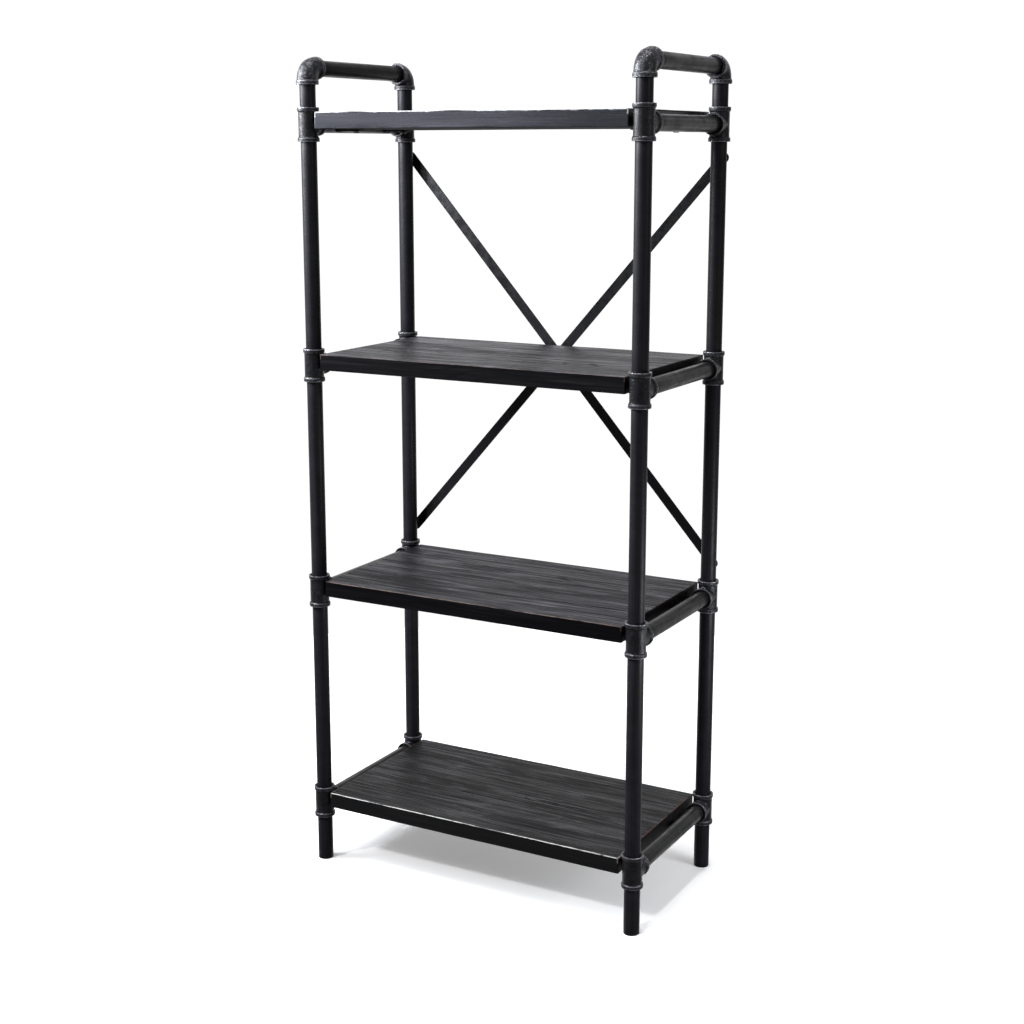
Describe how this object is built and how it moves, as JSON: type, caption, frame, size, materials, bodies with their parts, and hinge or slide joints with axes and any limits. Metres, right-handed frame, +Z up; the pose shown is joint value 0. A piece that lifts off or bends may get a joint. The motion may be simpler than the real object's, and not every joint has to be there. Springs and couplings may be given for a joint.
{
  "type": "pipe bookcase",
  "caption": "Open industrial bookcase: pipe legs with tee fittings, side rails, dark timber shelves, a pipe handle over each side and a flat-bar cross brace at the back.",
  "frame": {"origin": "middle of the object's box, at floor level", "axes": "+X to the right seen from the front, +Y to the back, +Z up"},
  "size_m": [0.786, 0.4174, 1.71],
  "materials": {
    "leg_pipes": "satin charcoal paint over steel tube",
    "side_rails": "satin charcoal paint over steel tube",
    "handle_pipes": "satin charcoal paint over steel tube",
    "cast_fittings": "dark cast surface with pewter rub on the collar rims",
    "brace_bars": "satin charcoal paint over flat bar",
    "brace_bolts": "dark domed bolt head",
    "shelf_timber": "black-stained brushed softwood with worn edges"
  },
  "bodies": {
    "root": {"brace_bar_inner": "brace_bars", "brace_bar_outer": "brace_bars", "brace_bolt_bottom_left": "brace_bolts", "brace_bolt_bottom_right": "brace_bolts", "brace_bolt_top_left": "brace_bolts", "brace_bolt_top_right": "brace_bolts", "elbow_back_left": "cast_fittings", "elbow_back_right": "cast_fittings", "elbow_front_left": "cast_fittings", "elbow_front_right": "cast_fittings", "handle_pipe_left": "handle_pipes", "handle_pipe_right": "handle_pipes", "leg_back_left_foot_pipe": "leg_pipes", "leg_back_left_handle_pipe": "leg_pipes", "leg_back_left_lower_pipe": "leg_pipes", "leg_back_left_middle_pipe": "leg_pipes", "leg_back_left_upper_pipe": "leg_pipes", "leg_back_right_foot_pipe": "leg_pipes", "leg_back_right_handle_pipe": "leg_pipes", "leg_back_right_lower_pipe": "leg_pipes", "leg_back_right_middle_pipe": "leg_pipes", "leg_back_right_upper_pipe": "leg_pipes", "leg_front_left_foot_pipe": "leg_pipes", "leg_front_left_handle_pipe": "leg_pipes", "leg_front_left_lower_pipe": "leg_pipes", "leg_front_left_middle_pipe": "leg_pipes", "leg_front_left_upper_pipe": "leg_pipes", "leg_front_right_foot_pipe": "leg_pipes", "leg_front_right_handle_pipe": "leg_pipes", "leg_front_right_lower_pipe": "leg_pipes", "leg_front_right_middle_pipe": "leg_pipes", "leg_front_right_upper_pipe": "leg_pipes", "rail_left_bottom": "side_rails", "rail_left_lower": "side_rails", "rail_left_top": "side_rails", "rail_left_upper": "side_rails", "rail_right_bottom": "side_rails", "rail_right_lower": "side_rails", "rail_right_top": "side_rails", "rail_right_upper": "side_rails", "shelf_bottom": "shelf_timber", "shelf_lower": "shelf_timber", "shelf_top": "shelf_timber", "shelf_upper": "shelf_timber", "tee_back_left_bottom": "cast_fittings", "tee_back_left_lower": "cast_fittings", "tee_back_left_top": "cast_fittings", "tee_back_left_upper": "cast_fittings", "tee_back_right_bottom": "cast_fittings", "tee_back_right_lower": "cast_fittings", "tee_back_right_top": "cast_fittings", "tee_back_right_upper": "cast_fittings", "tee_front_left_bottom": "cast_fittings", "tee_front_left_lower": "cast_fittings", "tee_front_left_top": "cast_fittings", "tee_front_left_upper": "cast_fittings", "tee_front_right_bottom": "cast_fittings", "tee_front_right_lower": "cast_fittings", "tee_front_right_top": "cast_fittings", "tee_front_right_upper": "cast_fittings"}
  },
  "joints": []
}
